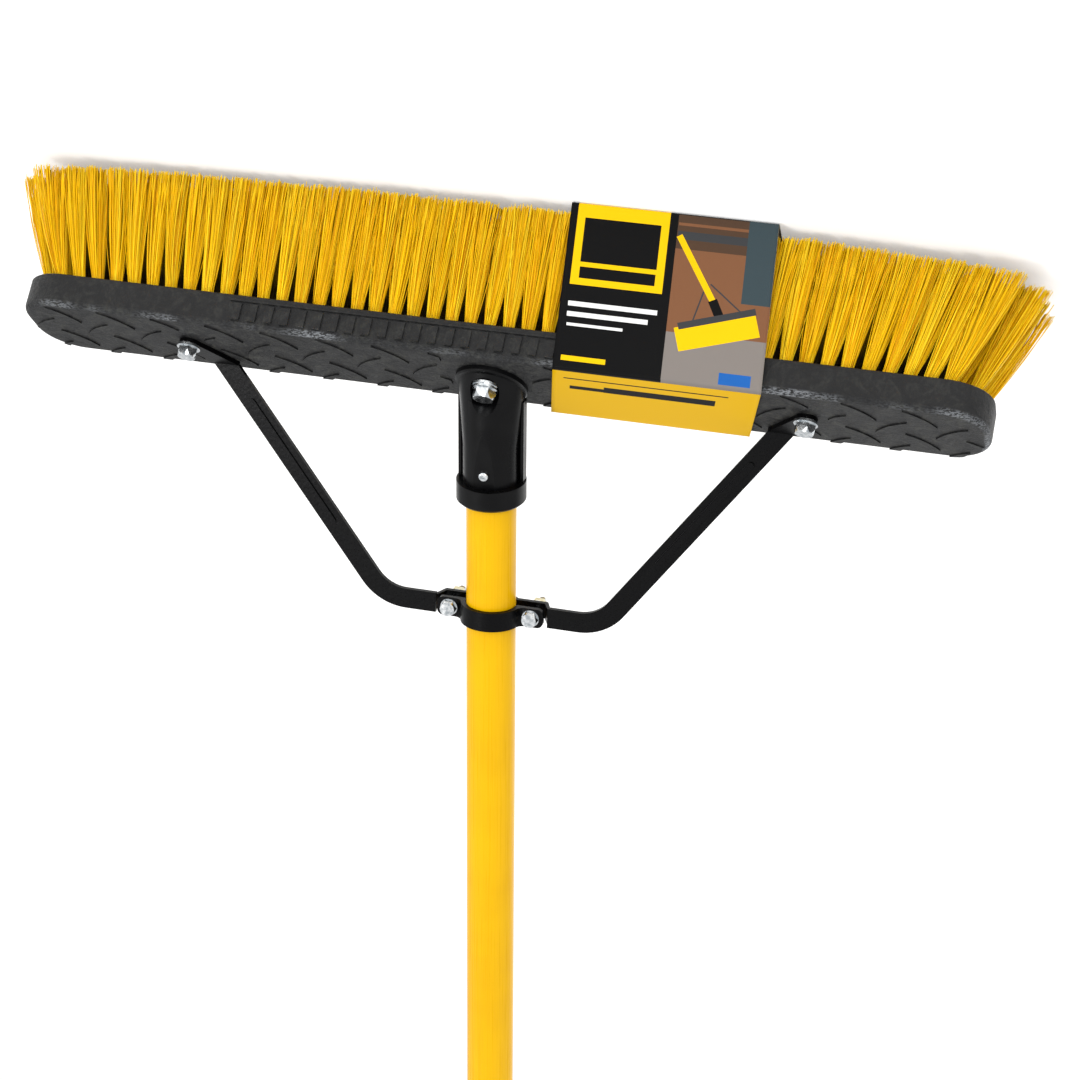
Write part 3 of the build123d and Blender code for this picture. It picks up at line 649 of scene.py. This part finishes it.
def printedCard():
    # coated cartonboard, printed: flat ink fields under a thin varnish, with a faint paper grain
    card = {"black": "#060607", "yellow": "#EABC00", "strip": "#DCAC00", "white": "#E6E6E4",
            "wall": "#4E3A2C", "plank": "#7A5238", "ground": "#7F7873", "slate": "#38454A",
            "iron": "#3A3B3D", "blue": "#1F5DA8", "grainMm": 0.5}
    # plain fields in millimetres from the front bottom corner of the print:
    # across and up centre, half sizes, turn in degrees, colour
    fields = [
        (32.7, 52.5, 32.8, 54.0, 0, "black"),
        (95.6, 88.0, 30.1, 17.5, 0, "ground"), (95.6, 47.0, 30.1, 26.0, 0, "plank"),
        (95.6, 10.5, 30.1, 10.6, 0, "wall"), (88.0, 12.6, 22.0, 2.6, 0, "iron"),
        (88.0, 5.6, 22.0, 0.9, 0, "plank"), (116.8, 25.0, 8.9, 26.0, 0, "slate"),
        (32.5, 24.5, 28.0, 26.0, 0, "yellow"), (32.5, 22.0, 23.2, 14.0, 0, "black"),
        (32.5, 42.6, 23.0, 3.6, 0, "black"),
        (32.0, 62.5, 27.0, 1.5, 0, "white"), (29.5, 69.0, 24.5, 1.5, 0, "white"),
        (22.5, 75.5, 17.0, 0.9, 0, "white"), (18.0, 96.5, 13.5, 1.6, 0, "yellow"),
        (79.0, 32.0, 22.5, 1.9, 58.0, "yellow"), (93.4, 55.6, 5.4, 2.8, 63.0, "black"),
        (82.6, 56.5, 10.8, 0.45, 104.0, "iron"), (101.0, 50.5, 15.5, 0.45, 38.0, "iron"),
        (95.5, 70.2, 24.6, 7.4, -17.0, "yellow"), (94.7, 62.0, 23.6, 2.1, -17.5, "iron"),
        (109.0, 98.0, 9.5, 3.6, 0, "blue"),
        (62.6, 143.0, 63.2, 37.4, 0, "strip"),
        (66.0, 129.0, 34.0, 4.4, 0, "black"), (24.0, 130.5, 13.0, 2.6, 0, "black"),
        (57.0, 116.5, 50.0, 0.8, 0, "black"),
    ]
    material, tree, shader = startMaterial(
        "coated cartonboard, offset printed and varnished",
        {"Base Color": toLinear(card["black"]), "Roughness": 0.5, "IOR": 1.5,
         "Specular IOR Level": 0.1})
    spot = addNode(tree, "ShaderNodeUVMap", {"uv_map": "printMap"})
    place = addNode(tree, "ShaderNodeTexCoord")
    grain = addNode(tree, "ShaderNodeTexNoise", {"Scale": perMm(card["grainMm"]), "Detail": 3.0},
                    {"Vector": place.outputs["Object"]})
    layer = addNode(tree, "ShaderNodeValToRGB",
                    {"stops": [(0.3, "#060607"), (0.7, "#0B0B0C")]}, {0: grain}).outputs[0]
    for across, up, halfWide, halfHigh, turnDeg, ink in fields:
        local = addNode(tree, "ShaderNodeMapping",
                        {"vector_type": "TEXTURE", "Location": (across, up, 0),
                         "Rotation": (0, 0, math.radians(turnDeg)), "Scale": (halfWide, halfHigh, 1)},
                        {"Vector": spot})
        size = addNode(tree, "ShaderNodeVectorMath", {"operation": "ABSOLUTE"}, {0: local})
        parts = addNode(tree, "ShaderNodeSeparateXYZ", {}, {0: size})
        most = addNode(tree, "ShaderNodeMath", {"operation": "MAXIMUM"},
                       {0: parts.outputs[0], 1: parts.outputs[1]})
        inside = addNode(tree, "ShaderNodeMath", {"operation": "LESS_THAN", 1: 1.0}, {0: most})
        laid = addNode(tree, "ShaderNodeMix", {"data_type": "RGBA", 7: toLinear(card[ink])},
                       {0: inside, 6: layer})
        layer = laid.outputs[2]
    tree.links.new(layer, shader.inputs["Base Color"])
    bump = addNode(tree, "ShaderNodeBump", {"Strength": 0.15, "Distance": 0.0001}, {"Height": grain})
    tree.links.new(bump.outputs[0], shader.inputs["Normal"])
    return material


def greyBoard():
    # uncoated grey back of cartonboard: dull, fibrous
    board = {"light": "#BDB6A8", "dark": "#9D9686", "fibreMm": 1.2}
    material, tree, shader = startMaterial("cartonboard, uncoated grey back", {"Roughness": 0.85})
    place = addNode(tree, "ShaderNodeTexCoord")
    fibres = addNode(tree, "ShaderNodeTexNoise", {"Scale": perMm(board["fibreMm"]), "Detail": 5.0},
                     {"Vector": place.outputs["Object"]})
    colour = addNode(tree, "ShaderNodeValToRGB",
                     {"stops": [(0.35, board["dark"]), (0.65, board["light"])]}, {0: fibres})
    tree.links.new(colour.outputs[0], shader.inputs["Base Color"])
    bump = addNode(tree, "ShaderNodeBump", {"Strength": 0.3, "Distance": 0.0001}, {"Height": fibres})
    tree.links.new(bump.outputs[0], shader.inputs["Normal"])
    return material


def foldSleeve():
    line, marks = sleevePath()
    steps = np.linalg.norm(np.diff(line, axis=0), axis=1)
    length = np.concatenate([[0], np.cumsum(steps)])
    tangent = np.gradient(line, axis=0)
    tangent /= np.linalg.norm(tangent, axis=1)[:, None]
    outward = np.stack([tangent[:, 1], -tangent[:, 0]], 1)
    middle = np.array([0, 50])
    outward *= np.sign(((line - middle) * outward).sum(1))[:, None]
    # the glued flap lies outside the start of the card
    lift = np.clip((length - (length[-1] - 15)) / 3, 0, 1) * (sleeve["card"] + 0.15)
    line = line + outward * lift[:, None]
    order = ["backLow", "frontLow", "frontTop", "backTop"]
    places = [length[0] - 1] + [length[m] for m in marks] + [length[-1] + 1]
    edges = []
    for key in ("startX", "endX"):
        values = [sleeve[key][k] for k in order]
        between = [(values[0] + values[3]) / 2] + values + [(values[0] + values[3]) / 2]
        edges.append(np.interp(length, places, between))
    columns = sleeve["columns"]
    zero = length[marks[1]]
    points, faces, spots, inks = [], [], [], []
    rows = len(line)
    for layer in (0, 1):
        for i in range(columns + 1):
            part = i / columns
            for j in range(rows):
                x = edges[0][j] * (1 - part) + edges[1][j] * part
                grow = sleeve["card"] * layer
                y, z = line[j] + outward[j] * grow
                points.append((x * mm, y * mm, z * mm))
                spots.append((sleeve["printWide"] * part, length[j] - zero))
    size = (columns + 1) * rows
    for layer in (0, 1):
        for i in range(columns):
            for j in range(rows - 1):
                a = layer * size + i * rows + j
                quad = (a, a + 1, a + rows + 1, a + rows)
                faces.append(quad if layer else quad[::-1])
                inks.append(0 if layer else 1)
    for i in range(columns):
        for j in (0, rows - 1):
            a = i * rows + j
            faces.append((a, a + rows, a + rows + size, a + size))
            inks.append(1)
    for j in range(rows - 1):
        for i in (0, columns):
            a = i * rows + j
            faces.append((a, a + 1, a + 1 + size, a + size))
            inks.append(1)
    piece = makePiece("card_sleeve_printed", points, faces, printedCard())
    piece.data.materials.append(greyBoard())
    piece.data.polygons.foreach_set("material_index", inks)
    spotMap = piece.data.uv_layers.new(name="printMap")
    corner = np.zeros(len(piece.data.loops), int)
    piece.data.loops.foreach_get("vertex_index", corner)
    spotMap.data.foreach_set("uv", np.array(spots, np.float32)[corner].ravel())
    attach(piece, "sleeve")
    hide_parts("card_sleeve")


foldSleeve()
print("sleeve folded and printed")
